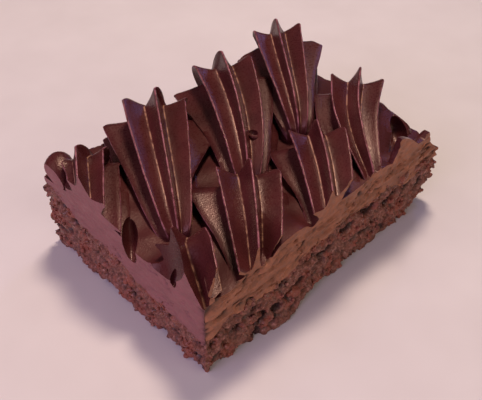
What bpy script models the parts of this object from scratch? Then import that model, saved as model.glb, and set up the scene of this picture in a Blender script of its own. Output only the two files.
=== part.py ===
"""A piece of chocolate brownie, cut from a tray.

A crumbly cake base carries a thick spread layer of chocolate icing. Rows of tall icing shells, piped
through a star nozzle, stand on the layer, and the knife has sliced the shells at the edges.
Metres, +Z up. The origin is the centre of the underside, +X runs along the long side, and the near
corner is the one at -X, -Y.
"""

import math
from collections import namedtuple

import bmesh
import bpy
from mathutils import Vector, noise

MM = 0.001

# The cut piece
LENGTH = 80.0 * MM
WIDTH = 55.4 * MM
ICING_TOP = 19.0 * MM
CLEAR_TOP = 50.0 * MM
GAP = 0.3 * MM

# The cake rises from the near corner, where the icing was dragged down, to the other three
CAKE_NEAR = 9.5 * MM
CAKE_RIGHT = 14.5 * MM
CAKE_LEFT = 15.5 * MM
CAKE_FAR = 15.0 * MM
PARTING_MARGIN = 6.0 * MM
PARTING_COLUMNS = 8
PARTING_ROWS = 6

# The crumb on the cut faces
CRUMB_STEP = 2.0 * MM
CRUMB_LEVELS = 9
CRUMB_ROUGH = 0.8 * MM
CRUMB_GRAIN = 2.6 * MM
TUNNEL_DEPTH = 1.9 * MM
TUNNEL_LENGTH = 7.5 * MM
TUNNEL_AT = 8.0 * MM
TUNNEL_SPAN = 3.2 * MM
FOOT_UNDERCUT = 0.5 * MM
FOOT_HEIGHT = 1.2 * MM

# The heel of crumb that stands out at the foot of the right face, and the chipped right corner
HEEL_AT = -18.0 * MM
HEEL_REACH = 9.0 * MM
HEEL_OUT = 2.6 * MM
HEEL_HEIGHT = 4.5 * MM
CHIP_DEPTH = 5.0 * MM
CHIP_HEIGHT = 8.0 * MM
CHIP_REACH = 11.0 * MM

# The knife's drag in the icing's faces
DRAG_LEVELS = 6
DRAG_DEPTH = 0.35 * MM
DRAG_LENGTH = 9.0 * MM
DRAG_PITCH = 1.6 * MM

# The star nozzle: eight ridges with a blunt tip, and valleys that reach well in
STAR_POINTS = 8
VALLEY_SHARE = 0.6
TIP_SHARE = 0.035

# The path of one piped shell, from its short head, over the crest, down its long tail
HEAD_LENGTH = 6.5 * MM
HEAD_START = 0.985
HEAD_RINGS = 6
TAIL_LENGTH = 33.0 * MM
TAIL_RINGS = 15
TAIL_SPREAD = 2.3 * MM
TAIL_SINK = 1.0 * MM
TAPER = 0.62
SAG = 0.45
LEAST_SPREAD = 1.0 * MM
ROOT_DEPTH = 1.0 * MM
TOUCHING = 60.0 * MM
SHARP_ANGLE = math.radians(25)

# Each shell: its crest's place on the piece in mm, its heading and turn in degrees, the nozzle's
# spread and the crest's height in mm, and how far each ridge stands out, clockwise from the top one
Shell = namedtuple("Shell", "x y heading turn spread crest ridges")
EVEN = (1.0,) * STAR_POINTS
RIGHT_LOBE = (1.0, 1.0, 1.35, 1.0, 1.0, 1.0, 1.0, 1.0)
LEFT_TEAR = (1.0, 1.0, 1.0, 1.0, 1.0, 1.0, 1.0, 1.15)
SHELLS = {
    "back_shell_1": Shell(-34.0, 18.0, 59, -10, 8.5, 32.0, EVEN),
    "back_shell_2": Shell(-12.0, 21.0, 58, 6, 11.0, 34.2, EVEN),
    "back_shell_3": Shell(10.5, 18.5, 57, -4, 10.7, 36.7, EVEN),
    "back_shell_4": Shell(32.0, 20.0, 52, -8, 9.0, 37.0, EVEN),
    "front_shell_1": Shell(-36.2, -17.5, 63, -11, 9.6, 31.2, EVEN),
    "front_shell_2": Shell(-13.6, -12.8, 51, 6, 10.2, 32.7, EVEN),
    "front_shell_3": Shell(8.0, -14.6, 51, -1, 9.5, 32.7, EVEN),
    "front_shell_4": Shell(29.0, -6.5, 48, 9, 9.3, 34.4, RIGHT_LOBE),
    "edge_shell": Shell(30.2, -32.2, 52, -6, 11.0, 33.0, LEFT_TEAR),
}

CAKE_COLOUR = (0.080, 0.028, 0.016, 1.0)
ICING_COLOUR = (0.075, 0.024, 0.020, 1.0)
CAKE_ROUGHNESS = 0.85
CUT_ROUGHNESS = 0.6
PIPED_ROUGHNESS = 0.35


def clear_scene():
    for obj in list(bpy.data.objects):
        bpy.data.objects.remove(obj)


def material(name, colour, roughness):
    made = bpy.data.materials.new(name)
    made.use_nodes = True
    shader = made.node_tree.nodes["Principled BSDF"]
    shader.inputs["Base Color"].default_value = colour
    shader.inputs["Roughness"].default_value = roughness
    shader.inputs["Metallic"].default_value = 0.0
    return made


def lerp(a, b, t):
    return a + (b - a) * t


def new_object(name, build):
    """An object whose mesh the build function makes in a bmesh."""
    mesh = bpy.data.meshes.new(name)
    shape = bmesh.new()
    build(shape)
    bmesh.ops.recalc_face_normals(shape, faces=shape.faces)
    shape.to_mesh(mesh)
    shape.free()
    obj = bpy.data.objects.new(name, mesh)
    bpy.context.scene.collection.objects.link(obj)
    return obj


def join_rings(shape, rings):
    """Skins closed rings of points, and caps the first and the last."""
    made = [[shape.verts.new(point) for point in ring] for ring in rings]
    for low, high in zip(made, made[1:]):
        for i in range(len(low)):
            shape.faces.new((low[i - 1], low[i], high[i], high[i - 1]))
    shape.faces.new(made[0])
    shape.faces.new(made[-1])


def helper(obj):
    obj.hide_render = True
    obj.display_type = "WIRE"
    return obj


def boolean(obj, operation, other):
    modifier = obj.modifiers.new(operation.lower(), "BOOLEAN")
    modifier.operation = operation
    modifier.object = other


def apply_modifiers(obj):
    graph = bpy.context.evaluated_depsgraph_get()
    mesh = bpy.data.meshes.new_from_object(obj.evaluated_get(graph))
    obj.modifiers.clear()
    obj.data = mesh


# The cut block: a prism on the piece's rectangle, whose side faces carry relief


def edge_points():
    """Points round the rectangle at an even step, each with the direction that faces out."""
    half_x = LENGTH / 2
    half_y = WIDTH / 2
    corners = [(-half_x, -half_y), (half_x, -half_y), (half_x, half_y), (-half_x, half_y)]
    points = []
    for i, start in enumerate(corners):
        end = corners[(i + 1) % 4]
        run = math.dist(start, end)
        steps = round(run / CRUMB_STEP)
        out = Vector((end[1] - start[1], start[0] - end[0], 0)) / run
        before = Vector((corners[i - 1][0] - start[0], corners[i - 1][1] - start[1], 0)).normalized()
        for k in range(steps):
            place = Vector((lerp(start[0], end[0], k / steps), lerp(start[1], end[1], k / steps), 0))
            outward = out if k else (out - before.cross(Vector((0, 0, 1)))).normalized()
            points.append((place, outward))
    return points


def cut_block(name, low, high, levels, relief):
    """A prism between two heights; relief gives how far each side point stands in or out."""

    def build(shape):
        rings = []
        for level in range(levels + 1):
            z = lerp(low, high, level / levels)
            rings.append([place + out * relief(place, z) + Vector((0, 0, z)) for place, out in edge_points()])
        join_rings(shape, rings)

    return new_object(name, build)


def parting_slab(name, lift, flat):
    """The space between the curved parting of cake and icing, lifted a little, and a flat height."""

    def height(x, y):
        s = x / LENGTH + 0.5
        t = y / WIDTH + 0.5
        return lerp(lerp(CAKE_NEAR, CAKE_RIGHT, s), lerp(CAKE_LEFT, CAKE_FAR, s), t) + lift

    def build(shape):
        bmesh.ops.create_grid(shape, x_segments=PARTING_COLUMNS, y_segments=PARTING_ROWS, size=0.5)
        for vert in shape.verts:
            x = vert.co.x * (LENGTH + 2 * PARTING_MARGIN)
            y = vert.co.y * (WIDTH + 2 * PARTING_MARGIN)
            vert.co = (x, y, height(x, y))
        sides = bmesh.ops.extrude_face_region(shape, geom=shape.faces[:])
        for item in sides["geom"]:
            if isinstance(item, bmesh.types.BMVert):
                item.co.z = flat
        bmesh.ops.triangulate(shape, faces=shape.faces[:])

    return helper(new_object(name, build))


def bump(distance, reach):
    """A smooth bump, 1 at no distance and near 0 at the reach."""
    return math.exp(-((2 * distance / reach) ** 2))


def crumb_relief(place, z):
    """The crumb's lumps, the tunnels along its middle, the ragged foot, the heel and the chip."""
    point = Vector((place.x, place.y, z))
    lumps = CRUMB_ROUGH * noise.fractal(point / CRUMB_GRAIN, 1.0, 2.0, 3)
    tunnel = TUNNEL_DEPTH * max(0.0, noise.noise(point / TUNNEL_LENGTH) + 0.15)
    tunnel *= bump(z - TUNNEL_AT, TUNNEL_SPAN * 2)
    foot = FOOT_UNDERCUT * math.exp(-z / FOOT_HEIGHT)
    heel = 0.0
    if place.y < 0 and abs(place.y) > WIDTH / 2 - GAP:
        heel = HEEL_OUT * bump(place.x - HEEL_AT, 2 * HEEL_REACH) * bump(z, 2 * HEEL_HEIGHT)
    corner = math.dist((place.x, place.y), (LENGTH / 2, -WIDTH / 2))
    chip = CHIP_DEPTH * max(0.0, 1 - corner / CHIP_REACH) * max(0.0, 1 - z / CHIP_HEIGHT)
    return lumps + heel - tunnel - foot - chip


def drag_relief(place, z):
    """Shallow streaks that the knife drew along the icing."""
    along = (place.x + place.y) / DRAG_LENGTH
    return DRAG_DEPTH * noise.noise(Vector((along, 0.5, z / DRAG_PITCH)))


def cake_base():
    base = cut_block("cake_base", 0.0, ICING_TOP, CRUMB_LEVELS, crumb_relief)
    boolean(base, "DIFFERENCE", parting_slab("above_cake", 0.0, CLEAR_TOP))
    apply_modifiers(base)
    base.data.materials.append(material("cake_crumb", CAKE_COLOUR, CAKE_ROUGHNESS))


def icing_layer():
    layer = cut_block("icing_layer", CAKE_NEAR - PARTING_MARGIN, ICING_TOP, DRAG_LEVELS, drag_relief)
    boolean(layer, "DIFFERENCE", parting_slab("below_icing", GAP, -CAKE_NEAR))
    apply_modifiers(layer)
    layer.data.materials.append(material("icing_cut", ICING_COLOUR, CUT_ROUGHNESS))


# The piped shells. Each is made with its crest over its own origin and its head towards its own +X


def star_ring(spread, ridges, grow):
    """The nozzle's star as (right, up) points. A grown one lies evenly outside the plain one."""
    half_step = math.pi / STAR_POINTS
    rise = VALLEY_SHARE * math.sin(half_step) - TIP_SHARE
    slope = math.atan2(rise, 1 - VALLEY_SHARE * math.cos(half_step))
    flat = TIP_SHARE * spread + grow * math.tan((math.pi / 2 - slope) / 2)
    valley = VALLEY_SHARE * spread + grow / math.sin(slope + half_step)
    points = []
    for i, ridge in enumerate(ridges):
        tip = spread * ridge + grow
        turn = 2 * half_step * i
        for side in (-flat, flat):
            right = tip * math.sin(turn) + side * math.cos(turn)
            up = tip * math.cos(turn) - side * math.sin(turn)
            points.append((right, up))
        turn += half_step
        points.append((valley * math.sin(turn), valley * math.cos(turn)))
    return points


def shell_spread(shell, u):
    """The star's spread at u metres from the crest towards the tail; the head is at negative u."""
    if u < 0:
        return shell.spread * MM * math.sqrt(max(0.0, 1 - (u / HEAD_LENGTH) ** 2))
    return lerp(TAIL_SPREAD, shell.spread * MM, max(0.0, 1 - u / TAIL_LENGTH) ** TAPER)


def shell_spine(shell, u):
    """The height of the star's centre over the layer at u."""
    middle = (shell.crest - shell.spread) * MM - ICING_TOP
    if u < 0:
        return lerp(middle, 0.0, (u / HEAD_LENGTH) ** 2)
    return lerp(-TAIL_SINK, middle, max(0.0, 1 - u / TAIL_LENGTH) ** SAG)


def piped_shell(name, shell, grow=0.0):
    turn = math.radians(shell.turn)

    def ring(u):
        spread = max(shell_spread(shell, u), LEAST_SPREAD)
        middle = shell_spine(shell, u)
        drop = max(1.0, (middle + ROOT_DEPTH) / (VALLEY_SHARE * spread))
        points = []
        for x, z in star_ring(spread, shell.ridges, grow):
            right = x * math.cos(turn) + z * math.sin(turn)
            up = z * math.cos(turn) - x * math.sin(turn)
            if up < 0:
                up *= drop
            points.append(Vector((-u, -right, middle + up)))
        return points

    head = HEAD_LENGTH * HEAD_START + grow
    places = [-head * math.cos(math.pi / 2 * i / HEAD_RINGS) for i in range(HEAD_RINGS)]
    places += [(TAIL_LENGTH + grow) * i / TAIL_RINGS for i in range(TAIL_RINGS + 1)]
    obj = new_object(name, lambda shape: join_rings(shape, [ring(u) for u in places]))
    obj.location = (shell.x * MM, shell.y * MM, ICING_TOP)
    obj.rotation_euler = (0, 0, math.radians(shell.heading))
    return obj


def keep_largest(obj):
    """Drops the loose scraps that trimming leaves."""
    shape = bmesh.new()
    shape.from_mesh(obj.data)
    unseen = set(shape.faces)
    parts = []
    while unseen:
        part = set()
        edge = {unseen.pop()}
        while edge:
            part |= edge
            edge = {near for face in edge for side in face.edges for near in side.link_faces} - part
        unseen -= part
        parts.append(part)
    largest = max(parts, key=lambda part: sum(face.calc_area() for face in part))
    bmesh.ops.delete(shape, geom=[face for face in shape.faces if face not in largest], context="FACES")
    shape.to_mesh(obj.data)
    shape.free()


def above_layer():
    """The space over the icing layer, inside the knife's four cuts."""

    def build(shape):
        bmesh.ops.create_cube(shape, size=1.0)
        for vert in shape.verts:
            z = lerp(ICING_TOP + GAP, CLEAR_TOP, vert.co.z + 0.5)
            vert.co = (vert.co.x * LENGTH, vert.co.y * WIDTH, z)

    return helper(new_object("above_layer", build))


def shells():
    """Pipes the shells in order. Each later shell presses into those that it touches."""
    space = above_layer()
    icing = material("piped_icing", ICING_COLOUR, PIPED_ROUGHNESS)
    names = list(SHELLS)
    for order, name in enumerate(names):
        shell = SHELLS[name]
        piped = piped_shell(name, shell)
        boolean(piped, "INTERSECT", space)
        pressing = []
        for other in names[order + 1 :]:
            near = SHELLS[other]
            if math.dist((shell.x, shell.y), (near.x, near.y)) * MM < TOUCHING:
                pressing.append(helper(piped_shell("pressing_" + other, near, GAP)))
                boolean(piped, "DIFFERENCE", pressing[-1])
        apply_modifiers(piped)
        for obj in pressing:
            bpy.data.objects.remove(obj)
        keep_largest(piped)
        piped.data.materials.clear()
        piped.data.materials.append(icing)
        piped.data.shade_smooth()
        piped.data.set_sharp_from_angle(angle=SHARP_ANGLE)


clear_scene()
cake_base()
icing_layer()
shells()
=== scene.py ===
"""A cut piece of iced chocolate brownie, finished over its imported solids.

The order is the baker's: the cake, the icing spread and piped on it, the knife's cuts, then the
crumbs that the knife leaves. Metres, +Z up, near corner at -X, -Y, like the solids.
"""

import math
from collections import namedtuple

import bmesh
import bpy
from mathutils import Matrix, Vector, noise


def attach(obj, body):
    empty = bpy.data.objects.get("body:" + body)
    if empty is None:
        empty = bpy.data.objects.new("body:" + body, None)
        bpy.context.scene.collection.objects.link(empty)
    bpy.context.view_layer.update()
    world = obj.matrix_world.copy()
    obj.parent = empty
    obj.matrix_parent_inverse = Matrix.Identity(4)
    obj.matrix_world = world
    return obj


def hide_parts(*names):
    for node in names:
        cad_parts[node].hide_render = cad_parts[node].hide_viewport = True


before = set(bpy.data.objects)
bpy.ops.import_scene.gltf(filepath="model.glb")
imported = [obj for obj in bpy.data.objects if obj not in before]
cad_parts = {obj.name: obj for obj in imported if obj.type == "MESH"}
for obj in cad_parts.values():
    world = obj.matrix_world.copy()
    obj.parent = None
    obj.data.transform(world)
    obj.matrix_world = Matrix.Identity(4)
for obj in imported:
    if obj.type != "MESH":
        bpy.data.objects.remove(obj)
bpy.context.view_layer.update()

# ------------------------------------------------------------------------------------------------
# The cake base. A moist chocolate crumb, baked in a sheet and cut with a knife: open and ragged on
# the cut faces, with a line of torn tunnels along its middle and crumbs hanging at its foot.

MM = 0.001
LENGTH = 80.0 * MM
WIDTH = 55.4 * MM
ICING_TOP = 19.0 * MM
WALLS = {
    "right": ((-LENGTH / 2, -WIDTH / 2), (LENGTH / 2, -WIDTH / 2)),
    "end": ((LENGTH / 2, -WIDTH / 2), (LENGTH / 2, WIDTH / 2)),
    "back": ((LENGTH / 2, WIDTH / 2), (-LENGTH / 2, WIDTH / 2)),
    "left": ((-LENGTH / 2, WIDTH / 2), (-LENGTH / 2, -WIDTH / 2)),
}

# Where the icing's lower edge runs on the two faces that are seen first: run from the near corner
# and height, both in mm. The other two faces follow the same rise and fall.
EDGE_RIGHT = [
    (0, 8.6), (5, 13.4), (11, 12.6), (20, 11.8), (27, 13.8), (37, 15.0), (52, 16.4), (64, 16.4),
    (80, 15.6),
]
EDGE_LEFT = [
    (0, 8.6), (6, 10.4), (12, 11.5), (17, 11.0), (26, 12.7), (32, 14.4), (42, 14.8), (46, 16.2),
    (51, 19.4), (55.4, 19.6),
]
CORNER_FAR = 15.4
EDGE_RAGGED = 0.8 * MM
EDGE_TOOTH = 2.6 * MM

# The mesh's step round the piece, and how many rows it has from the foot to the icing
CRUMB_STEP = 0.36 * MM
CRUMB_ROWS = 42

# The crumb's forms: how deep each is, and its size, or its length and height on the face
LUMP_DEPTH, LUMP_SIZE = 0.45 * MM, 2.3 * MM
LEDGE_DEPTH, LEDGE_SIZE = 0.75 * MM, (5.0 * MM, 1.9 * MM)
LEDGE_SLOPE = 0.08
GRAIN_DEPTH, GRAIN_SIZE = 0.34 * MM, 0.85 * MM
HOLE_DEPTH, HOLE_SIZE = 1.5 * MM, (3.2 * MM, 1.7 * MM)
PIT_DEPTH, PIT_SIZE = 0.7 * MM, 1.35 * MM
FOOT_DEPTH, FOOT_HEIGHT, FOOT_SIZE = 0.55 * MM, 0.9 * MM, 2.5 * MM
TUCK_DEPTH, TUCK_HEIGHT = 0.25 * MM, 1.2 * MM
ICING_BITE = 0.2 * MM

# The values of a form's pattern between which it goes from nothing to its full depth, and the value
# at which a grain neither stands out nor sinks
LEDGE_EDGE = (-0.15, 0.25)
HOLE_EDGE = (0.24, 0.52)
PIT_EDGE = (0.28, 0.55)
GRAIN_LEVEL = 0.55

# The heel of crumb at the foot of the right face, and the chip out of its far corner
HEEL_AT = -18.0 * MM
HEEL_REACH = 9.0 * MM
HEEL_OUT = 2.4 * MM
HEEL_HEIGHT = 4.5 * MM
CHIP_DEPTH = 2.0 * MM
CHIP_HEIGHT = 8.0 * MM
CHIP_REACH = 11.0 * MM

# Torn tunnels: the face, run, height, half length, half height and depth, in mm. A run starts at the
# near corner or, on the end and the back, at the corner that is on the left, seen from outside.
TUNNELS = [
    ("left", 41.0, 12.0, 2.6, 0.8, 1.6),
    ("left", 34.0, 8.6, 3.2, 0.9, 1.9),
    ("left", 26.5, 6.3, 2.8, 0.8, 1.7),
    ("left", 19.0, 5.4, 2.0, 0.6, 1.2),
    ("left", 11.0, 5.0, 2.4, 0.7, 1.2),
    ("left", 30.5, 11.0, 2.2, 0.5, 1.0),
    ("left", 47.5, 8.5, 1.8, 0.8, 1.3),
    ("right", 9.2, 7.9, 1.8, 1.3, 2.2),
    ("right", 15.7, 4.8, 2.4, 1.3, 2.6),
    ("right", 20.6, 4.4, 1.8, 1.1, 2.3),
    ("right", 13.4, 9.2, 2.6, 0.8, 1.7),
    ("right", 21.9, 10.2, 2.4, 1.0, 1.8),
    ("right", 31.3, 11.8, 2.8, 1.1, 2.0),
    ("right", 37.5, 10.4, 3.4, 1.4, 2.9),
    ("right", 45.0, 12.6, 3.2, 1.4, 2.7),
    ("right", 52.5, 13.4, 3.6, 1.4, 2.9),
    ("right", 60.0, 11.6, 3.0, 1.5, 2.6),
    ("right", 68.0, 12.0, 2.8, 1.3, 2.2),
    ("right", 28.5, 6.6, 2.6, 1.0, 2.0),
    ("end", 14.0, 9.0, 3.0, 0.9, 1.8),
    ("end", 30.0, 7.5, 3.4, 0.9, 1.9),
    ("end", 44.0, 10.0, 2.8, 0.8, 1.6),
    ("back", 15.0, 8.0, 3.0, 0.9, 1.8),
    ("back", 33.0, 9.5, 3.4, 1.0, 2.0),
    ("back", 54.0, 7.5, 3.2, 0.9, 1.8),
    ("back", 69.0, 10.0, 2.6, 0.8, 1.5),
]
# How far a tunnel wanders in mm, over what length, how ragged its rim is, and how much of it slopes in
TUNNEL_WANDER = 0.6
TUNNEL_BEND = 2.1 * MM
TUNNEL_RAGGED = 0.25
TUNNEL_TOOTH = 0.7 * MM
TUNNEL_LIP = 0.55

# The knife pressed the left face smoother than the right one
FACE_ROUGH = {"right": 1.0, "end": 0.95, "back": 0.95, "left": 0.85}


def lerp(a, b, t):
    return a + (b - a) * t


def smooth(low, high, value):
    t = min(1.0, max(0.0, (value - low) / (high - low)))
    return t * t * (3 - 2 * t)


def along(table, run):
    """The height in metres that a table of runs and heights in mm gives at a run in metres."""
    run /= MM
    for (a, low), (b, high) in zip(table, table[1:]):
        if run <= b:
            return lerp(low, high, max(0.0, run - a) / (b - a)) * MM
    return table[-1][1] * MM


def parting(x, y):
    """The height of the curved parting between the cake and its icing."""
    s = min(1.0, max(0.0, x / LENGTH + 0.5))
    t = min(1.0, max(0.0, y / WIDTH + 0.5))
    near = EDGE_RIGHT[0][1] * MM
    right_end = EDGE_RIGHT[-1][1] * MM
    left_end = EDGE_LEFT[-1][1] * MM
    flat = lerp(lerp(near, right_end, s), lerp(left_end, CORNER_FAR * MM, s), t)
    from_right = along(EDGE_RIGHT, s * LENGTH) - lerp(near, right_end, s)
    from_left = along(EDGE_LEFT, t * WIDTH) - lerp(near, left_end, t)
    ragged = EDGE_RAGGED * noise.fractal(Vector((x, y, 0)) / EDGE_TOOTH, 0.8, 2.1, 2)
    return flat + from_right * (1 - t) + from_left * (1 - s) + ragged


def wall_points(step):
    """Points round the piece at an even step: place, direction out, the face's name and the run
    along it."""
    points = []
    names = list(WALLS)
    for i, name in enumerate(names):
        start, end = (Vector((*corner, 0)) for corner in WALLS[name])
        before = WALLS[names[i - 1]]
        last = (Vector((*before[1], 0)) - Vector((*before[0], 0))).normalized()
        ahead = (end - start).normalized()
        out = ahead.cross(Vector((0, 0, 1)))
        steps = round((end - start).length / step)
        for k in range(steps):
            place = start.lerp(end, k / steps)
            if k == 0:
                points.append((place, out + last.cross(Vector((0, 0, 1))), name, 0.0))
            else:
                run = k / steps * (end - start).length
                points.append((place, out, name, WIDTH - run if name == "left" else run))
    return points


def mesh_object(name, verts, faces):
    mesh = bpy.data.meshes.new(name)
    mesh.from_pydata(verts, [], faces)
    obj = bpy.data.objects.new(name, mesh)
    bpy.context.scene.collection.objects.link(obj)
    return obj


def rings_to_mesh(name, rings):
    """A closed skin over rings of as many points each, the first and last ring capped."""
    count = len(rings[0])
    faces = []
    for r in range(len(rings) - 1):
        for i in range(count):
            a = r * count + i
            b = r * count + (i + 1) % count
            faces.append((a, b, b + count, a + count))
    faces.append(tuple(reversed(range(count))))
    faces.append(tuple(range((len(rings) - 1) * count, len(rings) * count)))
    return mesh_object(name, [point for ring in rings for point in ring], faces)


def mark_relief(obj, values):
    """Keeps on each point how far it stands out: in mm on a cut face, 1 on a ridge, -1 in a crease."""
    marks = obj.data.attributes.new("relief", "FLOAT", "POINT")
    marks.data.foreach_set("value", values)


def on_face(run, height, size, layer):
    """A place in a pattern that is stretched on a cut face. Size is the pattern's length and height,
    and layer picks one of its slices."""
    return Vector((run / size[0], height / size[1], layer))


def tunnel_depth(face, run, z):
    """How deep the torn tunnels of a face go in at a run and a height."""
    depth = 0.0
    for name, at, height, reach, half, deep in TUNNELS:
        if name != face:
            continue
        wander = TUNNEL_WANDER * noise.noise(Vector((run / TUNNEL_BEND, at, 0.0)))
        across = (z / MM - height - wander) / half
        down = (run / MM - at) / reach
        near = 1 - math.sqrt(across * across + down * down)
        ragged = TUNNEL_RAGGED * noise.noise(Vector((run, z, 0)) / TUNNEL_TOOTH)
        depth = max(depth, deep * smooth(0.0, TUNNEL_LIP, near + ragged))
    return depth * MM


def crumb_relief(place, face, run, z, top):
    """How far the crumb stands out from the cut, and the part of that which the knife tore: lumps,
    ledges, grains, holes, pits and tunnels. The rest is the heel, the foot and the tuck at the top."""
    point = Vector((place.x, place.y, z))
    rough = FACE_ROUGH[face]
    lumps = LUMP_DEPTH * noise.fractal(point / LUMP_SIZE, 0.9, 2.1, 3)
    level = z - LEDGE_SLOPE * run
    wave = noise.fractal(on_face(run, level, LEDGE_SIZE, 8.8), 0.9, 2.0, 3)
    ledges = LEDGE_DEPTH * (smooth(*LEDGE_EDGE, wave) - 0.5)
    grains = GRAIN_DEPTH * (GRAIN_LEVEL - noise.voronoi(point / GRAIN_SIZE)[0][0])
    holes = HOLE_DEPTH * smooth(*HOLE_EDGE, noise.noise(on_face(run, z, HOLE_SIZE, 4.4)))
    pits = PIT_DEPTH * smooth(*PIT_EDGE, noise.noise(point / PIT_SIZE + Vector((7, 3, 1))))
    heel = 0.0
    if face == "right":
        heel = HEEL_OUT * math.exp(-(((place.x - HEEL_AT) / HEEL_REACH) ** 2) - (z / HEEL_HEIGHT) ** 2)
    foot = FOOT_DEPTH * math.exp(-z / FOOT_HEIGHT) * (1 + noise.noise(point / FOOT_SIZE))
    tuck = TUCK_DEPTH * smooth(top - TUCK_HEIGHT, top, z)
    relief = rough * (lumps + ledges + grains - holes - pits) - tunnel_depth(face, run, z)
    return relief + heel - foot - tuck, relief


def bake_cake():
    """The cake from its foot up to the parting, torn on its four sides and chipped at one corner."""
    columns = wall_points(CRUMB_STEP)
    tops = [parting(place.x, place.y) + ICING_BITE for place, _, _, _ in columns]
    rings = []
    depths = []
    for row in range(CRUMB_ROWS + 1):
        ring = []
        for (place, out, face, run), top in zip(columns, tops):
            z = top * row / CRUMB_ROWS
            stand, relief = crumb_relief(place, face, run, z, top)
            shift = out * stand
            corner = math.hypot(place.x - LENGTH / 2, place.y + WIDTH / 2) / CHIP_REACH
            chip = CHIP_DEPTH * (1 - smooth(0.0, 1.0, corner)) * max(0.0, 1 - z / CHIP_HEIGHT)
            ring.append((place.x + shift.x - chip, place.y + shift.y + chip, z))
            depths.append(relief / MM)
        rings.append(ring)
    cake = rings_to_mesh("cake", rings)
    mark_relief(cake, depths)
    cake.data.shade_smooth()
    return cake


class Mixer:
    """Lays out one finish as a node tree: pattern in, Principled surface out."""

    def __init__(self, name):
        self.made = bpy.data.materials.new(name)
        self.made.use_nodes = True
        self.nodes = self.made.node_tree.nodes
        self.links = self.made.node_tree.links
        self.surface = self.nodes["Principled BSDF"]
        self.place = self.nodes.new("ShaderNodeTexCoord").outputs["Object"]

    def set(self, **values):
        for key, value in values.items():
            self.surface.inputs[key.replace("_", " ")].default_value = value

    def join(self, source, node, socket):
        self.links.new(source, node.inputs[socket])

    def stretch(self, scale):
        """The object's own coordinates, stretched by different amounts along X, Y and Z."""
        node = self.nodes.new("ShaderNodeMapping")
        self.join(self.place, node, "Vector")
        node.inputs["Scale"].default_value = scale
        return node.outputs["Vector"]

    def attribute(self, name):
        node = self.nodes.new("ShaderNodeAttribute")
        node.attribute_name = name
        return node.outputs["Fac"]

    def noise(self, size, detail, rough=0.55, vector=None):
        node = self.nodes.new("ShaderNodeTexNoise")
        self.join(vector or self.place, node, "Vector")
        node.inputs["Scale"].default_value = 1 / size
        node.inputs["Detail"].default_value = detail
        node.inputs["Roughness"].default_value = rough
        return node.outputs["Fac"]

    def cells(self, size):
        node = self.nodes.new("ShaderNodeTexVoronoi")
        self.join(self.place, node, "Vector")
        node.inputs["Scale"].default_value = 1 / size
        return node.outputs["Distance"]

    def span(self, value, low, high, to_low, to_high):
        """A value's range from low to high, turned smoothly into another."""
        node = self.nodes.new("ShaderNodeMapRange")
        node.interpolation_type = "SMOOTHSTEP"
        self.join(value, node, "Value")
        node.inputs["From Min"].default_value = low
        node.inputs["From Max"].default_value = high
        node.inputs["To Min"].default_value = to_low
        node.inputs["To Max"].default_value = to_high
        return node.outputs["Result"]

    def ramp(self, value, *stops):
        """A colour that runs through stops of (place, red, green, blue)."""
        node = self.nodes.new("ShaderNodeValToRGB")
        self.join(value, node, "Fac")
        marks = node.color_ramp.elements
        while len(marks) < len(stops):
            marks.new(0.5)
        for mark, (at, *colour) in zip(marks, stops):
            mark.position = at
            mark.color = (*colour, 1)
        return node.outputs["Color"]

    def blend(self, share, base, colour):
        """Lays one colour over a base, by a share that varies over the surface."""
        # The node's colours are its sockets 6 and 7, and output 2
        node = self.nodes.new("ShaderNodeMix")
        node.data_type = "RGBA"
        self.links.new(share, node.inputs[0])
        self.links.new(base, node.inputs[6])
        node.inputs[7].default_value = (*colour, 1)
        return node.outputs[2]

    def math(self, how, a, b):
        """Adds or multiplies a value by another one or by a number."""
        node = self.nodes.new("ShaderNodeMath")
        node.operation = how
        self.links.new(a, node.inputs[0])
        if isinstance(b, float):
            node.inputs[1].default_value = b
        else:
            self.links.new(b, node.inputs[1])
        return node.outputs[0]

    def colour(self, source):
        self.join(source, self.surface, "Base Color")

    def roughness(self, source):
        self.join(source, self.surface, "Roughness")

    def bump(self, height, depth, strength=1.0):
        """Adds relief of a depth in metres on top of the bumps laid before it."""
        node = self.nodes.new("ShaderNodeBump")
        node.inputs["Distance"].default_value = depth
        node.inputs["Strength"].default_value = strength
        self.join(height, node, "Height")
        before = self.surface.inputs["Normal"]
        if before.is_linked:
            self.links.new(before.links[0].from_socket, node.inputs["Normal"])
        self.links.new(node.outputs["Normal"], before)


RED_CRUMB = (0.262, 0.062, 0.036)
# Painted shade: the dark colour laid into the crumb's holes, pits and tunnels
HOLE_SHADE = (0.030, 0.0090, 0.0075)


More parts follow.
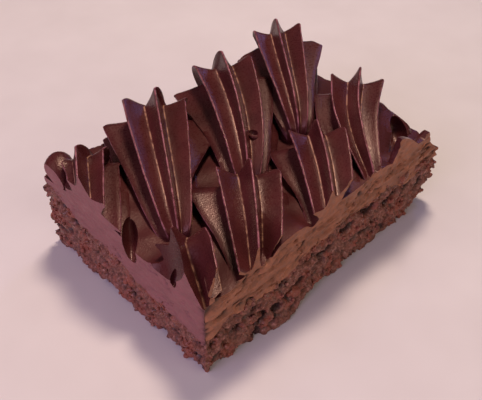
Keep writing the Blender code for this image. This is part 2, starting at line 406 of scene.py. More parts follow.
def crumb_finish(name, grain_highlight):
    """Moist chocolate crumb, with painted shade in its holes, pits and tunnels. The last argument is how
    far its pale grains, which are painted highlights, show against the dark ones.
    """
    crumb = Mixer(name)
    patch = crumb.noise(4.0 * MM, 3.0)
    grain = crumb.noise(0.85 * MM, 4.0, 0.65)
    # The top stop is the pale grains, painted highlights, as strong as the last argument makes them
    base = crumb.ramp(
        grain,
        (0.32, 0.075, 0.0210, 0.0150),
        (0.46, 0.170, 0.0530, 0.0330),
        (0.58, 0.235, 0.0840, 0.0560),
        (0.72, 0.440 * grain_highlight, 0.1900 * grain_highlight, 0.1480 * grain_highlight),
    )
    red = crumb.span(patch, 0.50, 0.60, 0.0, 0.75)
    base = crumb.blend(red, base, RED_CRUMB)
    # Painted shade: the deeper the torn relief sinks, the closer to the shade colour
    sunk_shade = crumb.span(crumb.attribute("relief"), -0.15, -1.10, 0.0, 0.92)
    crumb.colour(crumb.blend(sunk_shade, base, HOLE_SHADE))
    crumb.roughness(crumb.span(crumb.noise(1.2 * MM, 2.0), 0.35, 0.65, 0.22, 0.80))
    crumb.set(IOR=1.45)
    crumb.bump(crumb.cells(0.55 * MM), 0.14 * MM, 0.9)
    crumb.bump(crumb.noise(0.28 * MM, 3.0, 0.7), 0.12 * MM, 0.9)
    return crumb.made


cake = bake_cake()
cake.data.materials.append(crumb_finish("cake_crumb", 1.0))
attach(cake, "root")
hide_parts("cake_base")

# ------------------------------------------------------------------------------------------------
# The icing. Chocolate icing is spread over the cake, and shells of it are piped on in rows through
# a closed star nozzle: each starts at a short blunt head, swells at its crest and is drawn out into
# a long tail. The knife then cuts straight through layer and shells, and drags on its way down.

# The nozzle's ridges, as degrees round the section and shares of the spread. The lowest pair on each
# side is squashed out against the layer.
RIDGES = ((0, 1.0), (45, 1.0), (90, 1.0), (107, 1.22), (180, 1.0), (253, 1.18), (270, 1.0), (315, 1.0))
VALLEYS = (
    (22.5, 0.54), (67.5, 0.42), (98, 0.70), (140, 0.95), (220, 0.95), (262, 0.70), (292.5, 0.42),
    (337.5, 0.54),
)
# A ridge's rounded tip, as shares of its half width and of its rounding
TIP_SHAPE = ((-1.0, 0.62), (-0.6, 0.16), (0.0, 0.0), (0.6, 0.16), (1.0, 0.62))
TIP_CREST = 0.7
# Where the section's points lie on a ridge's side, down into the valley and up out of it
DOWN_STEPS = (0.22, 0.46, 0.70, 0.90)
UP_STEPS = (0.10, 0.30, 0.54, 0.78)
# The ridges and valleys between these angles are on the underside, and are plain
UNDER_RIDGES = (120, 240)
UNDER_VALLEYS = (100, 250)
# How hollow a ridge's sides are, how thin and round its tip is, and how high a valley's line stands
HOLLOW = 0.04
TIP_HALF = 0.26 * MM
TIP_THIN = 0.09
TIP_ROUND = 0.30 * MM
CREASE = 0.10 * MM
# How a shell starts and tapers, how deep its tail and its root go into the layer, and its least spread
HEAD_LENGTH = 6.5 * MM
HEAD_BLUNT = 0.985
TAPER = 0.56
TAIL_SINK = 1.0 * MM
ROOT_DEPTH = 1.2 * MM
ROOT_REACH = 0.6
LEAST_SPREAD = 0.9 * MM
# The hand's wander, in degrees of turn and as a share of a ridge's length, and over what length
HAND_TURN, HAND_TURN_LENGTH = 1.2, 9 * MM
HAND_SWELL, HAND_SWELL_LENGTH = 0.02, 5 * MM
# Sections from the head's tip to the crest, and from there to the tail's end
HEAD_RINGS = 22
TAIL_RINGS = 60

# Each shell: the place of its crest and its heading; how far the star is turned at the crest and at
# the tail's end; the spread there; the tail's length and sideways bow; the crest's height; how fast
# the tail falls; and how far the head veers to the right. Swells are ridges that grow or shrink, from
# one share of their length to another between two places on the way down the shell, and gapes are
# valleys that deepen in the same way. Millimetres and degrees.
FIELDS = "x y heading turn tail_turn spread tail_spread tail bow crest sag veer swells gapes"
Shell = namedtuple("Shell", FIELDS, defaults=({}, {}))
LEFT_LOBES = {6: (0.7, 0.6, -2, 3), 7: (0.8, 0.62, -2, 3)}
NARROW_LEFT = {6: (1.20, 0.85, 0, 20)}
WIDE_LEFT = {6: (1.34, 1.1, 0, 24), 2: (1.12, 0.95, 2, 22)}
WIDE_RIGHT = {6: (1.12, 1.0, 0, 20), 2: (1.36, 0.70, 5, 24)}
WIDE_BOTH = {6: (1.34, 1.1, 0, 24), 2: (1.36, 1.0, 0, 20)}
NEAR_LOBES = {
    1: (0.90, 1.14, -4, 4),
    2: (0.50, 0.45, -4, 0),
    3: (0.46, 0.42, -4, 0),
    6: (0.80, 0.80, 0, 1),
    7: (0.95, 0.62, -1, 5),
}
RIGHT_LOBE = {2: (0.80, 1.38, -3, 6), 3: (0.80, 1.0, -3, 6)}
NEAR_GAPE = {0: (7.0, 0, 11)}
CUT_GAPES = {0: (4.0, 8, 19), 7: (1.6, 8, 20)}
SHELLS = {
    "back_shell_1": Shell(-34.5, 18.5, 59, -6, -24, 8.0, 3.5, 33, -0.3, 32.0, 0.40, 35, LEFT_LOBES),
    "back_shell_2": Shell(-12.5, 21.0, 59, 7, 1, 10.7, 2.6, 37, 0.0, 35.8, 0.24, 35, WIDE_RIGHT),
    "back_shell_3": Shell(11.0, 19.5, 55, -6, -2, 10.2, 2.7, 34, -1.0, 37.1, 0.40, -30, WIDE_LEFT),
    "back_shell_4": Shell(32.5, 21.0, 52, -8, -3, 8.9, 2.0, 33, 0.2, 37.7, 0.20, -15, WIDE_BOTH),
    "front_shell_1": Shell(
        -35.5, -16.5, 60, -13, -12, 9.4, 3.1, 35, 0.0, 31.8, 0.40, 20, NEAR_LOBES, NEAR_GAPE
    ),
    "front_shell_2": Shell(
        -13.0, -11.5, 51, 7, 2, 10.0, 3.0, 28, -0.5, 33.1, 0.44, -5, NARROW_LEFT, CUT_GAPES
    ),
    "front_shell_3": Shell(9.0, -13.5, 47, -4, 5, 9.2, 2.9, 30, -0.8, 33.5, 0.42, -10, NARROW_LEFT),
    "front_shell_4": Shell(30.5, -6.0, 49, 8, 13, 9.7, 1.4, 31, 2.3, 35.2, 0.25, 12, RIGHT_LOBE),
    "edge_shell": Shell(30.2, -32.2, 52, -6, -6, 9.5, 2.3, 33, 0.0, 29.5, 0.45, 0),
}
SHELL_SEED = 11.3
SHARP_EDGE = math.radians(42)


def compass(degrees, length):
    """A point of the star's section, with degrees counted clockwise from straight up."""
    angle = math.radians(degrees)
    return Vector((math.sin(angle), math.cos(angle))) * length


def star_section(spread, lengths, gapes):
    """One section of the piped shell: thin round-tipped ridges with hollow sides between them, and
    for each point whether it is on a ridge (1), in a crease (-1) or on a side (0)."""
    half = min(TIP_HALF, TIP_THIN * spread)
    shoulder_back = TIP_SHAPE[0][1] * TIP_ROUND
    section = []
    crests = []
    for i, ((angle, share), (dip, depth)) in enumerate(zip(RIDGES, VALLEYS)):
        buried = UNDER_RIDGES[0] < angle < UNDER_RIDGES[1]
        tip = spread * share * lengths[i]
        for across, back in TIP_SHAPE[::2] if buried else TIP_SHAPE:
            crests.append(1.0 if abs(across) < TIP_CREST else 0.0)
            section.append(compass(angle, tip - back * TIP_ROUND) + compass(angle + 90, across * half))
        shoulder = section[-1]
        bottom = compass(dip, depth * spread) - Vector((0, gapes[i]))
        following = (i + 1) % len(RIDGES)
        next_angle, next_share = RIDGES[following]
        next_tip = spread * next_share * lengths[following]
        next_shoulder = compass(next_angle, next_tip - shoulder_back) - compass(next_angle + 90, half)
        plain = UNDER_VALLEYS[0] < dip < UNDER_VALLEYS[1]
        hollow = 0.0 if plain else HOLLOW
        for start, end, places in (
            (shoulder, bottom, (0.5,) if plain else DOWN_STEPS),
            (bottom, next_shoulder, (0.5,) if plain else UP_STEPS),
        ):
            chord = end - start
            control = (start + end) / 2 + Vector((chord.y, -chord.x)) * (2 * hollow)
            if start is bottom:
                section.append(bottom + compass(dip, CREASE))
                crests.append(-1.0)
            for t in places:
                section.append((1 - t) ** 2 * start + 2 * t * (1 - t) * control + t * t * end)
                crests.append(0.0)
    return section, crests


def pipe_shell(name, shell, seed):
    """Draws the star section from the head over the crest to the tail, with a hand's slight wander."""
    tail = shell.tail * MM
    middle_at_crest = (shell.crest - shell.spread) * MM - ICING_TOP
    place = Matrix.Translation((shell.x * MM, shell.y * MM, ICING_TOP))
    place = place @ Matrix.Rotation(math.radians(shell.heading), 4, "Z")
    lines = []

    def ring(u):
        left = max(0.0, 1 - u / tail)
        if u < 0:
            far = (u / HEAD_LENGTH) ** 2
            spread = shell.spread * MM * math.sqrt(max(0.0, 1 - far))
            middle = lerp(middle_at_crest, 0.0, far)
            aside = -u * math.sin(math.radians(shell.veer))
            turn = shell.turn
        else:
            spread = lerp(shell.tail_spread, shell.spread, left**TAPER) * MM
            middle = lerp(-TAIL_SINK, middle_at_crest, left**shell.sag)
            aside = -shell.bow * MM * math.sin(math.pi * u / tail)
            turn = lerp(shell.tail_turn, shell.turn, left)
        spread = max(spread, LEAST_SPREAD)
        drop = max(1.0, (middle + ROOT_DEPTH) / (ROOT_REACH * spread))
        turn = math.radians(turn + HAND_TURN * noise.noise(Vector((u / HAND_TURN_LENGTH, seed, 0.5))))
        lengths = []
        gapes = []
        for i in range(len(RIDGES)):
            before, after, start, end = shell.swells.get(i, (1.0, 1.0, 0, 1))
            wander = 1 + HAND_SWELL * noise.noise(Vector((u / HAND_SWELL_LENGTH, seed, 3.7 * i)))
            lengths.append(wander * lerp(before, after, smooth(start * MM, end * MM, u)))
            deep, start, end = shell.gapes.get(i, (0.0, 0, 1))
            gapes.append(deep * MM * smooth(start * MM, end * MM, u))
        ahead = -u if u > 0 else -u * math.cos(math.radians(shell.veer))
        points = []
        section, crests = star_section(spread, lengths, gapes)
        for x, z in section:
            right = x * math.cos(turn) + z * math.sin(turn)
            up = z * math.cos(turn) - x * math.sin(turn)
            if up < 0:
                up *= drop
            points.append(place @ Vector((ahead, -right - aside, middle + up)))
        lines.extend(crests)
        return points

    head = HEAD_LENGTH * HEAD_BLUNT
    places = [-head * math.cos(math.pi / 2 * i / HEAD_RINGS) for i in range(HEAD_RINGS)]
    places += [tail * i / TAIL_RINGS for i in range(TAIL_RINGS + 1)]
    piped = rings_to_mesh(name, [ring(u) for u in reversed(places)])
    mark_relief(piped, lines)
    return piped


# How high the spread icing stands between the shells: places on the piece and heights, in mm
LAYER_TOPS = (
    (-40, 27, 21.3), (-40, 17, 21.5), (-40, 7, 21.8), (-34, 7, 22.3), (-40, 1, 22.0), (-36, -3, 22.0),
    (-40, -9, 21.0), (-40, -15, 22.3), (-40, -19, 20.4), (-40, -26, 18.8), (-35, -28, 21.2),
    (-30, -27, 21.4), (-24, -28, 21.5), (-17, -28, 23.8), (-12, -28, 23.8), (-8, -28, 21.8),
    (3, -28, 23.4), (16, -28, 24.4), (21, -26, 23.5), (-26, -8, 21.2), (-20, 6, 21.0), (0, 8, 21.0),
    (20, 8, 21.0), (-5, -10, 21.0), (14, -10, 21.0), (27, -20, 19.0), (36, -20, 19.4), (40, -28, 17.4),
    (40, -12, 20.5), (40, 5, 21.0), (0, 28, 21.2), (40, 28, 20.6),
)
# How softly one place passes into the next in mm, the top's waves, how far the layer bites into the
# cake, and how far it reaches past the cuts
LAYER_SOFT = 2
LAYER_WAVE, LAYER_WAVE_SIZE = 0.5 * MM, 6 * MM
LAYER_SINK = 0.3 * MM
CUT_MARGIN = 4 * MM
SPREAD_STEP = 0.67 * MM


def layer_top(x, y):
    total = 0.0
    weight = 0.0
    for at_x, at_y, high in LAYER_TOPS:
        near = 1 / ((x / MM - at_x) ** 2 + (y / MM - at_y) ** 2 + LAYER_SOFT**2) ** 2
        total += near * high
        weight += near
    return total / weight * MM + LAYER_WAVE * noise.noise(Vector((x, y, 0.0)) / LAYER_WAVE_SIZE)


def block_between(name, x_range, y_range, low, high):
    """A closed block over a rectangle, between two surfaces that give a height for x and y."""
    columns = round((x_range[1] - x_range[0]) / SPREAD_STEP)
    rows = round((y_range[1] - y_range[0]) / SPREAD_STEP)
    verts = []
    for surface in (low, high):
        for j in range(rows + 1):
            for i in range(columns + 1):
                x = lerp(*x_range, i / columns)
                y = lerp(*y_range, j / rows)
                verts.append((x, y, surface(x, y)))
    wide = columns + 1
    layer = wide * (rows + 1)
    faces = []
    for j in range(rows):
        for i in range(columns):
            a = j * wide + i
            faces.append((a, a + wide, a + wide + 1, a + 1))
            faces.append((layer + a, layer + a + 1, layer + a + wide + 1, layer + a + wide))
    rim = list(range(wide))
    rim += [j * wide + columns for j in range(1, rows + 1)]
    rim += [rows * wide + i for i in range(columns - 1, -1, -1)]
    rim += [j * wide for j in range(rows - 1, 0, -1)]
    for a, b in zip(rim, rim[1:] + rim[:1]):
        faces.append((a, b, layer + b, layer + a))
    block = mesh_object(name, verts, faces)
    mark_relief(block, [0.0] * len(verts))
    return block


def spread_layer():
    """The spread layer before it is cut: a slab with a wavy top, on the cake's parting."""
    across = (-LENGTH / 2 - CUT_MARGIN, LENGTH / 2 + CUT_MARGIN)
    deep = (-WIDTH / 2 - CUT_MARGIN, WIDTH / 2 + CUT_MARGIN)
    return block_between("icing", across, deep, lambda x, y: parting(x, y) - LAYER_SINK, layer_top)


# The thin wall of icing that the knife left standing at the right end: places along X and heights
# along its crest, in mm
FLAP = [
    (19.0, 23.0), (21.0, 26.0), (21.7, 29.4), (23.4, 28.8), (26.4, 26.9), (29.8, 23.9),
    (32.4, 23.8), (34.1, 25.6), (35.0, 23.4), (36.1, 21.0), (38.3, 18.8), (39.5, 16.6), (42.0, 15.0),
]
FLAP_X = (19 * MM, 42 * MM)
FLAP_Y = (-31 * MM, -23 * MM)
FLAP_FOOT = 15.0 * MM
FLAP_INSIDE = -23.8 * MM
FLAP_OUTSIDE = -26.3 * MM
FLAP_THIN = 0.5 * MM
FLAP_RAGGED, FLAP_TOOTH = 0.7 * MM, 3 * MM


def standing_flap():
    def top(x, y):
        ragged = FLAP_RAGGED * noise.noise(Vector((x, y, 0.0)) / FLAP_TOOTH)
        rise = smooth(FLAP_INSIDE, FLAP_OUTSIDE, y + ragged)
        return lerp(FLAP_FOOT + FLAP_THIN, along(FLAP, x), rise)

    return block_between("flap", FLAP_X, FLAP_Y, lambda x, y: FLAP_FOOT, top)


# The knife's cuts: the step round the piece, and levels that are close in the spread icing and wide
# above it
CUT_STEP = 0.42 * MM
CUT_LEVELS = [(7.0 + 0.34 * i) * MM for i in range(59)] + [(27.5 + 1.0 * i) * MM for i in range(12)]
CORNER_WEAR, CORNER_WEAR_REACH = 0.8 * MM, 0.9 * MM
CORNER_RAGGED, CORNER_TOOTH = 0.7, 1.6 * MM

# How hard the knife dragged at each face, and the forms that this tore: how deep each is, in mm, its
# length and height, and the values of its pattern between which it goes from nothing to its full depth
DRAG = {"right": 1.0, "end": 0.9, "back": 0.9, "left": 0.36}
DRAG_SLOPE = {"right": 0.10, "end": 0.0, "back": 0.0, "left": 0.0}
TORN_LEDGE, TORN_LEDGE_SIZE, TORN_LEDGE_EDGE = 0.50, (8 * MM, 1.7 * MM), (-0.10, 0.22)
CRACK, CRACK_SIZE, CRACK_WIDTH = 1.2, (5.5 * MM, 1.1 * MM), 0.10
CRACK_PATCH_SIZE, CRACK_PATCH_EDGE = (6 * MM, 3.5 * MM), (-0.05, 0.25)
DENT, DENT_SIZE, DENT_EDGE = 0.45, (2.6 * MM, 1.5 * MM), (0.25, 0.6)
CUT_GRAIN, CUT_GRAIN_SIZE = 0.06, 0.8 * MM
# The heights between which the cut turns neater, and the share of the drag that is gone above them
NEAT_FROM, NEAT_ABOVE, NEAT_SHARE = 20 * MM, 23.5 * MM, 0.7


def drag_relief(place, face, run, z):
    """The knife's drag in the cut icing: ledges torn along the cut, with cracks under them. The thin
    shells above are cut more neatly."""
    level = z - DRAG_SLOPE[face] * run
    wave = noise.fractal(on_face(run, level, TORN_LEDGE_SIZE, 3.3), 0.9, 2.0, 3)
    ledge = TORN_LEDGE * (smooth(*TORN_LEDGE_EDGE, wave) - 0.5)
    seam = abs(noise.noise(on_face(run, level, CRACK_SIZE, 5.7)))
    patch = smooth(*CRACK_PATCH_EDGE, noise.noise(on_face(run, level, CRACK_PATCH_SIZE, 1.9)))
    crack = CRACK * max(0.0, (1 - seam / CRACK_WIDTH) * patch)
    dent = DENT * smooth(*DENT_EDGE, noise.noise(on_face(run, z, DENT_SIZE, 9.1)))
    grain = CUT_GRAIN * noise.noise(Vector((place.x, place.y, z)) / CUT_GRAIN_SIZE)
    grip = DRAG[face] * (1 - NEAT_SHARE * smooth(NEAT_FROM, NEAT_ABOVE, z))
    return (grip * (ledge - crack - dent) + grain) * MM


# Where the finishes stand in the icing's slots, after the piped one
PRESSED, DRAGGED, SPREAD = 1, 2, 3


def knife_cuts(finishes):
    """The space that the four cuts leave, with the knife's drag on its walls. The left wall and the
    end wall are pressed, the other two are dragged, and each gives its finish to the icing it cuts."""
    rings = []
    depths = []
    for z in CUT_LEVELS:
        ring = []
        for place, out, face, run in wall_points(CUT_STEP):
            stand = drag_relief(place, face, run, z)
            if face in ("right", "left"):
                ragged = 1 + CORNER_RAGGED * noise.noise(Vector((z / CORNER_TOOTH, 0.0, 2.7)))
                stand -= CORNER_WEAR * math.exp(-run / CORNER_WEAR_REACH) * ragged
            shift = out * stand
            ring.append((place.x + shift.x, place.y + shift.y, z))
            depths.append(stand / MM)
        rings.append(ring)
    cuts = rings_to_mesh("knife_cuts", rings)
    mark_relief(cuts, depths)
    for finish in finishes:
        cuts.data.materials.append(finish)
    names = [face for _, _, face, _ in wall_points(CUT_STEP)]
    for i, wall in enumerate(cuts.data.polygons):
        if len(wall.vertices) == 4:
            wall.material_index = PRESSED if names[i % len(names)] in ("left", "end") else DRAGGED
    return cuts


# Lumps that stand on the icing and hollows that are pressed into it, in mm: the centre, the half
# sizes, a place that the first half size points to, and how uneven it is
LUMPS = {
    "far_lobe": ((-37.9, 23.2, 24.0), (5.0, 3.7, 2.6), (-35.4, 27.2, 25.8), 0.04),
    "bubble_rim": ((0.4, -0.8, 27.4), (1.4, 1.7, 0.75), None, 0.05),
    "shoulder": ((37.0, -13.6, 19.2), (8.0, 3.2, 3.3), (37.6, -22.0, 17.6), 0.13),
}
HOLLOWS = {
    "hollow": ((-38.4, -3.0, 21.2), (6.0, 1.7, 3.4), (-34.8, 1.6, 24.6), 0.0),
    "scoop": ((-44.6, -17.0, 30.2), (11.0, 7.2, 11.3), (-49.6, -25.7, 28.7), 0.0),
    "end_cavity": ((33.4, -19.8, 20.7), (6.2, 2.9, 4.0), (37.0, -15.4, 20.9), 0.0),
    "bubble": ((0.4, -0.8, 27.9), (0.9, 1.2, 1.1), None, 0.0),
    "dent": ((-40.0, -18.7, 22.4), (2.2, 1.0, 2.2), (-37.0, -17.2, 25.0), 0.0),
}
LUMP_KNOBS = 2.3


def rounded_lump(name, centre, half_sizes, point_to, uneven):
    shape = bmesh.new()
    bmesh.ops.create_icosphere(shape, subdivisions=4, radius=1.0)
    aim = Matrix()
    if point_to:
        aim = (Vector(point_to) - Vector(centre)).to_track_quat("X", "Z").to_matrix().to_4x4()
    place = Matrix.Translation(centre) @ aim @ Matrix.Diagonal((*half_sizes, 1))
    for vert in shape.verts:
        vert.co *= 1 + uneven * noise.fractal(vert.co * LUMP_KNOBS + Vector(centre), 0.8, 2.0, 3)
        vert.co = place @ vert.co * MM
    mesh = bpy.data.meshes.new(name)
    shape.to_mesh(mesh)
    shape.free()
    obj = bpy.data.objects.new(name, mesh)
    bpy.context.scene.collection.objects.link(obj)
    mark_relief(obj, [0.0] * len(mesh.vertices))
    return obj


def carve(obj, operation, other):
    modifier = obj.modifiers.new(other.name, "BOOLEAN")
    modifier.operation = operation
    modifier.solver = "MANIFOLD"
    modifier.object = other


def settle(obj):
    """Turns the modified object into a plain mesh."""
    graph = bpy.context.evaluated_depsgraph_get()
    mesh = bpy.data.meshes.new_from_object(obj.evaluated_get(graph))
    obj.modifiers.clear()
    obj.data = mesh


def ice_cake(finishes):
    """Spreads the layer, pipes the shells, adds the lumps and hollows, and cuts the four sides."""
    icing = spread_layer()
    for finish in finishes:
        icing.data.materials.append(finish)
    for face in icing.data.polygons:
        face.material_index = SPREAD
    added = [
        pipe_shell("piping_" + name, shell, SHELL_SEED * i)
        for i, (name, shell) in enumerate(SHELLS.items())
    ]
    added.append(standing_flap())
    added += [rounded_lump(name, *form) for name, form in LUMPS.items()]
    hollows = [rounded_lump(name, *form) for name, form in HOLLOWS.items()]
    cuts = knife_cuts(finishes)
    for lump in added:
        carve(icing, "UNION", lump)
    for hollow in hollows:
        carve(icing, "DIFFERENCE", hollow)
    carve(icing, "INTERSECT", cuts)
    settle(icing)
    for used in (*added, *hollows, cuts):
        bpy.data.objects.remove(used)
    icing.data.shade_smooth()
    icing.data.set_sharp_from_angle(angle=SHARP_EDGE)
    return icing


# Painted highlights: the pale colours laid along the nozzle's ridges and in its creases
RIDGE_HIGHLIGHT = (0.34, 0.115, 0.140)
CREASE_HIGHLIGHT = (0.46, 0.240, 0.150)
# Each cut face's own pale colour, and the painted shade laid into its cracks and dents
PRESSED_PALE, PRESSED_SHADE = (0.225, 0.078, 0.074), (0.070, 0.020, 0.018)
DRAGGED_PALE, DRAGGED_SHADE = (0.275, 0.098, 0.050), (0.040, 0.012, 0.009)


def icing_finish(name, shine, dull):
    """Set chocolate icing: dark and close, with a fine grain. Shine is the strength of its sheen and
    dull its roughness. Pale lines along the nozzle's ridges and creases are painted highlights."""
    piped = Mixer(name)
    tone = piped.noise(6.0 * MM, 3.0)
    base = piped.ramp(tone, (0.35, 0.047, 0.0084, 0.0092), (0.65, 0.069, 0.0138, 0.0138))
    line = piped.attribute("relief")
    # Painted highlights along the ridges and in the creases, broken up by a noise
    broken = piped.span(piped.noise(1.6 * MM, 3.0), 0.38, 0.60, 0.15, 1.0)
    ridge_highlight = piped.math("MULTIPLY", piped.span(line, 0.35, 0.98, 0.0, 0.62), broken)
    crease_highlight = piped.math("MULTIPLY", piped.span(line, -0.25, -0.95, 0.0, 0.80), broken)
    base = piped.blend(ridge_highlight, base, RIDGE_HIGHLIGHT)
    piped.colour(piped.blend(crease_highlight, base, CREASE_HIGHLIGHT))
    piped.roughness(piped.span(piped.noise(0.5 * MM, 2.0), 0.3, 0.7, dull - 0.08, dull + 0.08))
    piped.set(IOR=1.45, Specular_IOR_Level=shine, Specular_Tint=(1.0, 0.66, 0.56, 1.0))
    piped.bump(piped.noise(1.5 * MM, 2.0), 0.05 * MM, 0.5)
    piped.bump(piped.noise(0.36 * MM, 2.0, 0.6), 0.065 * MM, 0.9)
    return piped.made


def cut_finish(name, pale, deep, grain, uneven):
    """Icing where the knife went through it: paler and dull, with painted shade in its cracks and dents.
    Grain is the size of its spots, and uneven is how far they stray from the pale colour."""
    cut = Mixer(name)
    blotch = cut.noise(2.2 * MM, 4.0, 0.6, cut.stretch((0.5, 0.5, 1.0)))
    spot = cut.noise(grain, 3.0, 0.65)
    tone = cut.math("ADD", cut.math("MULTIPLY", blotch, 0.5), cut.math("MULTIPLY", spot, 0.5))
    low = tuple((1 - uneven) * share for share in pale)
    high = tuple((1 + uneven) * share for share in pale)
    base = cut.ramp(tone, (0.38, *low), (0.50, *pale), (0.62, *high))
    # Painted shade: the deeper the knife's drag sinks, the closer to the shade colour
    sunk_shade = cut.span(cut.attribute("relief"), -0.10, -0.62, 0.0, 0.85)
    cut.colour(cut.blend(sunk_shade, base, deep))
    cut.roughness(cut.span(spot, 0.3, 0.7, 0.48, 0.75))
    cut.set(IOR=1.45)
    cut.bump(blotch, 0.04 * MM, 0.5)
    cut.bump(cut.noise(0.32 * MM, 3.0, 0.65), 0.07 * MM, 0.9)
    return cut.made


icing = ice_cake((
    icing_finish("piped_icing", 0.40, 0.32),
    cut_finish("pressed_icing", PRESSED_PALE, PRESSED_SHADE, 0.6 * MM, 0.16),
    cut_finish("dragged_icing", DRAGGED_PALE, DRAGGED_SHADE, 0.9 * MM, 0.32),
    icing_finish("spread_icing", 0.26, 0.42),
))
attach(icing, "root")
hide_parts("icing_layer", *SHELLS)

# ------------------------------------------------------------------------------------------------
# Crumbs. The knife tears moist crumbs from the cake, and they cling to its cut faces and foot. Each is
# a small lump a millimetre or so across.

CRUMB_SIZES = {
    "Per Square Metre": 520000.0,
    "Smallest": 0.22 * MM,
    "Largest": 0.62 * MM,
    "Roughness": 0.6 * MM,
}
# The scatter's seeds, the patches that it leaves, each crumb's squeeze and knobs, and how far up or
# down a face that crumbs cling to may point
CRUMB_SEED = 4
TURN_SEED = 8
CRUMB_PATCH, CRUMB_PATCH_EDGE = 4 * MM, (0.42, 0.62)
CRUMB_SQUEEZE = (0.65, 1.25)
CRUMB_KNOB = 0.55 * MM
UPRIGHT = 0.8


def crumb_tree(finish):
    """Scatters lumps in patches over the cake's upright faces, each with its own size, turn and shape."""
    tree = bpy.data.node_groups.new("clinging_crumbs", "GeometryNodeTree")
    panel = tree.interface
    panel.new_socket("Cake", in_out="INPUT", socket_type="NodeSocketGeometry")
    for label in CRUMB_SIZES:
        panel.new_socket(label, in_out="INPUT", socket_type="NodeSocketFloat")
    panel.new_socket("Seed", in_out="INPUT", socket_type="NodeSocketInt")
    panel.new_socket("Crumbs", in_out="OUTPUT", socket_type="NodeSocketGeometry")
    nodes = tree.nodes
    link = tree.links.new
    source = nodes.new("NodeGroupInput").outputs
    drain = nodes.new("NodeGroupOutput").inputs

    def make(kind, **settings):
        node = nodes.new(kind)
        for key, value in settings.items():
            setattr(node, key, value)
        return node

    normal = make("GeometryNodeInputNormal").outputs[0]
    split = make("ShaderNodeSeparateXYZ")
    link(normal, split.inputs[0])
    flat = make("ShaderNodeMath", operation="ABSOLUTE")
    link(split.outputs["Z"], flat.inputs[0])
    upright = make("FunctionNodeCompare", operation="LESS_THAN")
    link(flat.outputs[0], upright.inputs["A"])
    upright.inputs["B"].default_value = UPRIGHT
    patch = make("ShaderNodeTexNoise")
    patch.inputs["Scale"].default_value = 1 / CRUMB_PATCH
    share = make("ShaderNodeMapRange")
    link(patch.outputs["Fac"], share.inputs["Value"])
    share.inputs["From Min"].default_value = CRUMB_PATCH_EDGE[0]
    share.inputs["From Max"].default_value = CRUMB_PATCH_EDGE[1]
    amount = make("ShaderNodeMath", operation="MULTIPLY")
    link(share.outputs["Result"], amount.inputs[0])
    link(source["Per Square Metre"], amount.inputs[1])
    scatter = make("GeometryNodeDistributePointsOnFaces", distribute_method="RANDOM")
    link(source["Cake"], scatter.inputs["Mesh"])
    link(upright.outputs[0], scatter.inputs["Selection"])
    link(amount.outputs[0], scatter.inputs["Density"])
    link(source["Seed"], scatter.inputs["Seed"])
    ball = make("GeometryNodeMeshIcoSphere")
    ball.inputs["Radius"].default_value = 1.0
    ball.inputs["Subdivisions"].default_value = 2
    # A random value has its vector in sockets 0 and 1 and output 0, its number in 2 and 3 and output 1
    size = make("FunctionNodeRandomValue", data_type="FLOAT")
    link(source["Smallest"], size.inputs[2])
    link(source["Largest"], size.inputs[3])
    link(source["Seed"], size.inputs["Seed"])
    squeeze = make("FunctionNodeRandomValue", data_type="FLOAT_VECTOR")
    squeeze.inputs[0].default_value = (CRUMB_SQUEEZE[0],) * 3
    squeeze.inputs[1].default_value = (CRUMB_SQUEEZE[1],) * 3
    scale = make("ShaderNodeVectorMath", operation="SCALE")
    link(squeeze.outputs[0], scale.inputs[0])
    link(size.outputs[1], scale.inputs["Scale"])
    spin = make("FunctionNodeRandomValue", data_type="FLOAT_VECTOR")
    spin.inputs[1].default_value = (math.tau,) * 3
    spin.inputs["Seed"].default_value = TURN_SEED
    placed = make("GeometryNodeInstanceOnPoints")
    link(scatter.outputs["Points"], placed.inputs["Points"])
    link(ball.outputs["Mesh"], placed.inputs["Instance"])
    link(spin.outputs[0], placed.inputs["Rotation"])
    link(scale.outputs[0], placed.inputs["Scale"])
    real = make("GeometryNodeRealizeInstances")
    link(placed.outputs[0], real.inputs[0])
    knobs = make("ShaderNodeTexNoise")
    knobs.inputs["Scale"].default_value = 1 / CRUMB_KNOB
    knobs.inputs["Detail"].default_value = 2.0
    centred = make("ShaderNodeVectorMath", operation="SUBTRACT")
    link(knobs.outputs["Color"], centred.inputs[0])
    centred.inputs[1].default_value = (0.5, 0.5, 0.5)
    push = make("ShaderNodeVectorMath", operation="SCALE")
    link(centred.outputs[0], push.inputs[0])
    link(source["Roughness"], push.inputs["Scale"])
    move = make("GeometryNodeSetPosition")
    link(real.outputs[0], move.inputs["Geometry"])
    link(push.outputs[0], move.inputs["Offset"])
    painted = make("GeometryNodeSetMaterial")
    painted.inputs["Material"].default_value = finish
    link(move.outputs[0], painted.inputs["Geometry"])
    link(painted.outputs[0], drain["Crumbs"])
    return tree


crumbs = bpy.data.objects.new("clinging_crumbs", cake.data.copy())
bpy.context.scene.collection.objects.link(crumbs)
scattering = crumbs.modifiers.new("scattering", "NODES")
scattering.node_group = crumb_tree(crumb_finish("loose_crumb", 1.15))
sockets = {item.name: item.identifier for item in scattering.node_group.interface.items_tree}
for label, value in CRUMB_SIZES.items():
    scattering[sockets[label]] = value
scattering[sockets["Seed"]] = CRUMB_SEED
settle(crumbs)
# The crumbs at the foot are flat where they rest
for vert in crumbs.data.vertices:
    vert.co.z = max(vert.co.z, 0.0)
crumbs.data.shade_smooth()
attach(crumbs, "root")

# ------------------------------------------------------------------------------------------------
# The floor, the lights and the camera: a plain pale floor under warm soft light from above and the
# right, with a cool one from the left and behind.

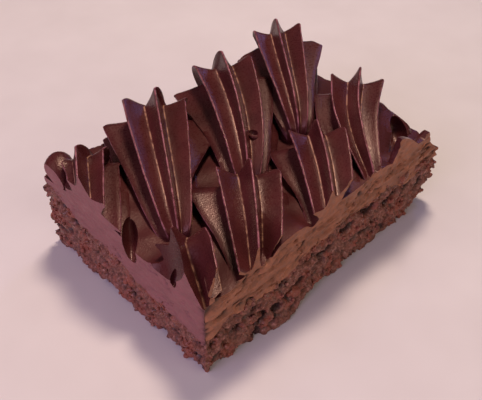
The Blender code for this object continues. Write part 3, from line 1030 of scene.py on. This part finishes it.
FLOOR_REACH = 0.9
FLOOR_GRAIN = 0.02
FLOOR_TONES = ((0.3, 0.59, 0.525, 0.51), (0.7, 0.62, 0.555, 0.54))
LIGHT_DISTANCE = 0.60
LIGHT_AIM = Vector((0, 0, 0.02))
ROOM_COLOUR = (0.80, 0.78, 0.80, 1)
ROOM_STRENGTH = 0.09


def stage_floor():
    corners = [(x * FLOOR_REACH, y * FLOOR_REACH, 0) for x, y in ((-1, -1), (1, -1), (1, 1), (-1, 1))]
    floor = mesh_object("floor", corners, [(0, 1, 2, 3)])
    paper = Mixer("pale_floor")
    paper.colour(paper.ramp(paper.noise(FLOOR_GRAIN, 2.0), *FLOOR_TONES))
    paper.set(Roughness=0.8)
    floor.data.materials.append(paper.made)


def soft_light(name, azimuth, elevation, size, power, colour):
    """A square soft box. Azimuth 0 is towards +X, and 90 towards +Y."""
    lamp = bpy.data.lights.new(name, "AREA")
    lamp.shape = "SQUARE"
    lamp.size = size
    lamp.energy = power
    lamp.color = colour
    obj = bpy.data.objects.new(name, lamp)
    round_by = math.radians(azimuth)
    up_by = math.radians(elevation)
    flat = math.cos(up_by)
    towards = Vector((flat * math.cos(round_by), flat * math.sin(round_by), math.sin(up_by)))
    obj.location = towards * LIGHT_DISTANCE + LIGHT_AIM
    obj.rotation_euler = towards.to_track_quat("Z", "Y").to_euler()
    bpy.context.scene.collection.objects.link(obj)


stage_floor()
soft_light("warm_key", 36, 70, 0.12, 3.0, (1.0, 0.84, 0.70))
soft_light("front_fill", -85, 28, 0.45, 1.1, (1.0, 0.86, 0.74))
soft_light("cool_fill", 184, 30, 0.40, 1.85, (0.88, 0.70, 1.12))
soft_light("left_fill", 130, 52, 0.25, 0.4, (1.0, 0.80, 0.74))
soft_light("blue_window", 18, 34, 0.10, 0.30, (0.26, 0.34, 1.0))

room = bpy.data.worlds.new("room")
bpy.context.scene.world = room
room.use_nodes = True
room.node_tree.nodes["Background"].inputs["Color"].default_value = ROOM_COLOUR
room.node_tree.nodes["Background"].inputs["Strength"].default_value = ROOM_STRENGTH
bpy.context.scene.view_settings.view_transform = "Standard"

# The camera stands where the photo was taken from
EYE = Vector((-94.24, -91.95, 123.93)) * MM
LOOK_YAW = math.radians(45.13)
LOOK_DOWN = math.radians(41.74)
LOOK_ROLL = math.radians(0.61)
LENS = 51.53


def place_camera():
    flat = math.cos(LOOK_DOWN)
    ahead = Vector((flat * math.cos(LOOK_YAW), flat * math.sin(LOOK_YAW), -math.sin(LOOK_DOWN)))
    right = Vector((math.sin(LOOK_YAW), -math.cos(LOOK_YAW), 0))
    up = right.cross(ahead)
    tilted = right * math.cos(LOOK_ROLL) + up * math.sin(LOOK_ROLL)
    camera = bpy.data.objects.new("camera", bpy.data.cameras.new("camera"))
    camera.data.lens = LENS
    camera.data.clip_start = 0.01
    turned = Matrix((tilted, tilted.cross(ahead), -ahead)).transposed()
    camera.matrix_world = Matrix.Translation(EYE) @ turned.to_4x4()
    bpy.context.scene.collection.objects.link(camera)
    bpy.context.scene.camera = camera


place_camera()
